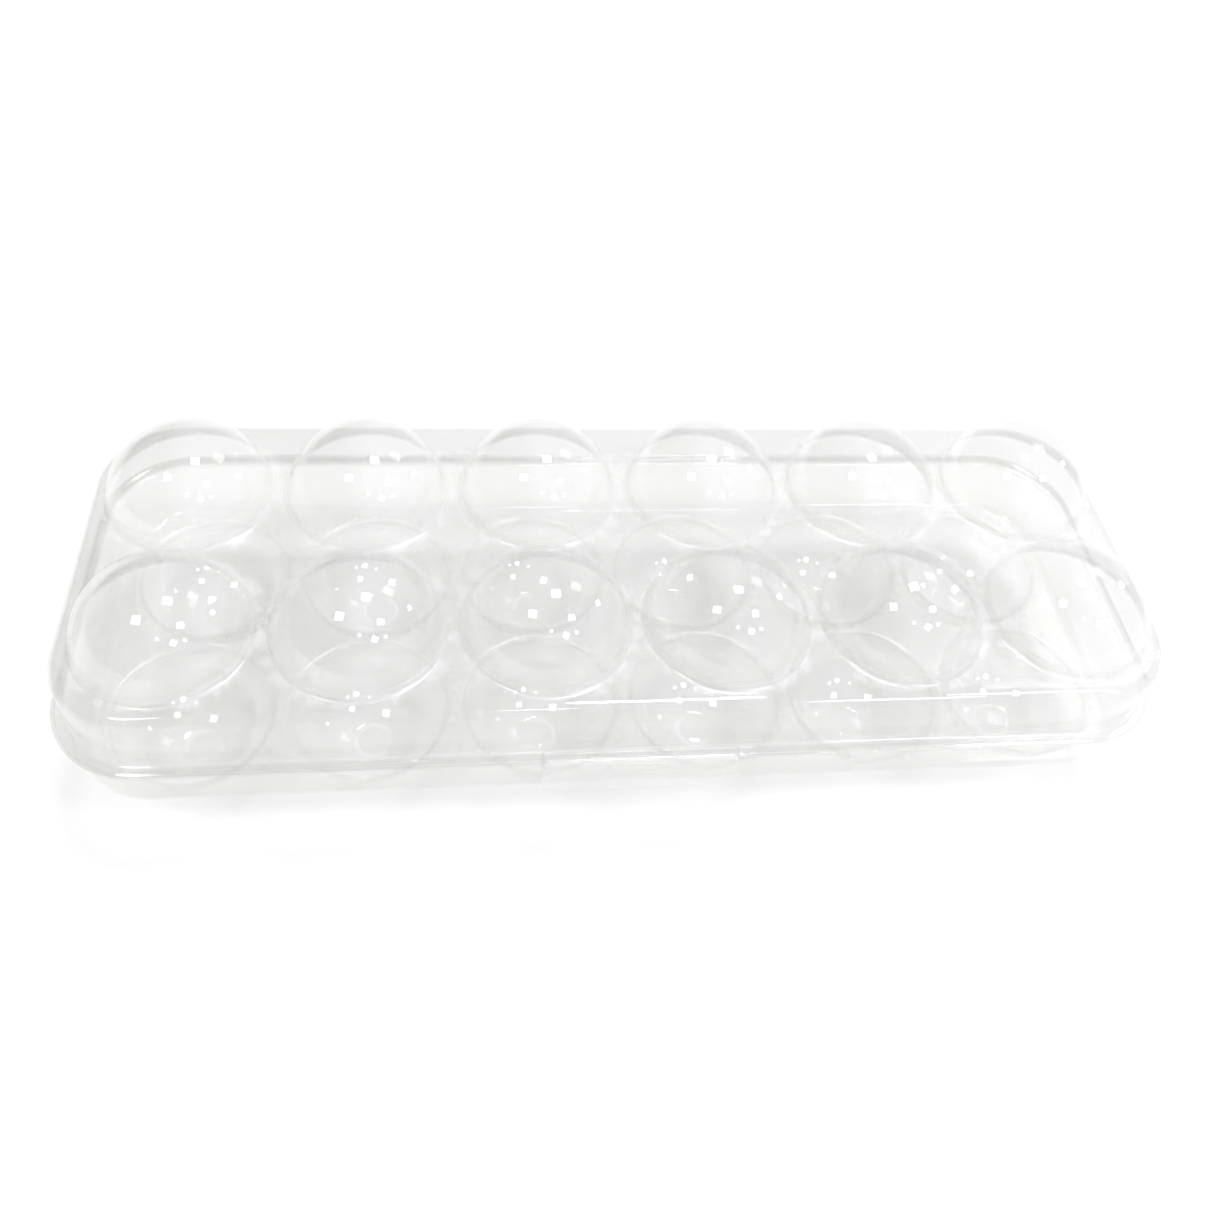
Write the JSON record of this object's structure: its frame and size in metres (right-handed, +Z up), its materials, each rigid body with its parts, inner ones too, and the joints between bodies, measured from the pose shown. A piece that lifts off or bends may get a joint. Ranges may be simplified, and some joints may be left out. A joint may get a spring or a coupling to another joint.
{
  "type": "egg carton",
  "caption": "Clear plastic egg carton: a hinged lid with round domes closes over a base with round cups in two rows, held by a front latch tab.",
  "frame": {"origin": "centre of the plane that the cups' feet stand on, in the middle of the carton's length and width", "axes": "+X along the rows of cells, +Z up towards the lid's domes, -Y towards the latch tab"},
  "size_m": [0.2996, 0.1124, 0.0772],
  "materials": {
    "base_plastic": "clear, glossy, thin formed sheet",
    "lid_plastic": "clear, glossy, thin formed sheet",
    "latch_plastic": "clear, glossy, with a bent crease",
    "hinge_plastic": "clear, slightly stress-whitened fold"
  },
  "bodies": {
    "base": {"floor_front_1": "base_plastic", "floor_front_2": "base_plastic", "floor_front_3": "base_plastic", "floor_front_4": "base_plastic", "floor_front_5": "base_plastic", "floor_front_6": "base_plastic", "floor_rear_1": "base_plastic", "floor_rear_2": "base_plastic", "floor_rear_3": "base_plastic", "floor_rear_4": "base_plastic", "floor_rear_5": "base_plastic", "floor_rear_6": "base_plastic", "base_wall": "base_plastic", "base_flange": "base_plastic", "cup_front_1": "base_plastic", "cup_front_2": "base_plastic", "cup_front_3": "base_plastic", "cup_front_4": "base_plastic", "cup_front_5": "base_plastic", "cup_front_6": "base_plastic", "cup_rear_1": "base_plastic", "cup_rear_2": "base_plastic", "cup_rear_3": "base_plastic", "cup_rear_4": "base_plastic", "cup_rear_5": "base_plastic", "cup_rear_6": "base_plastic", "living_hinge": "hinge_plastic"},
    "lid": {"deck_front_1": "lid_plastic", "deck_front_2": "lid_plastic", "deck_front_3": "lid_plastic", "deck_front_4": "lid_plastic", "deck_front_5": "lid_plastic", "deck_front_6": "lid_plastic", "deck_rear_1": "lid_plastic", "deck_rear_2": "lid_plastic", "deck_rear_3": "lid_plastic", "deck_rear_4": "lid_plastic", "deck_rear_5": "lid_plastic", "deck_rear_6": "lid_plastic", "lid_wall": "lid_plastic", "lid_flange": "lid_plastic", "dome_front_1": "lid_plastic", "dome_front_2": "lid_plastic", "dome_front_3": "lid_plastic", "dome_front_4": "lid_plastic", "dome_front_5": "lid_plastic", "dome_front_6": "lid_plastic", "dome_rear_1": "lid_plastic", "dome_rear_2": "lid_plastic", "dome_rear_3": "lid_plastic", "dome_rear_4": "lid_plastic", "dome_rear_5": "lid_plastic", "dome_rear_6": "lid_plastic"},
    "latch_tab": {"latch_tab": "latch_plastic"}
  },
  "joints": [
    {"name": "lid_hinge", "type": "hinge", "parent": "base", "child": "lid", "pos_m": [0, 0.0556, 0.03864], "axis": [-1, 0, 0], "range_deg": [0, 180]},
    {"name": "latch_flex", "type": "hinge", "parent": "lid", "child": "latch_tab", "pos_m": [0, -0.052, 0.03969], "axis": [-1, 0, 0], "range_deg": [0, 40], "stiffness_Nm_per_rad": 0.005}
  ]
}
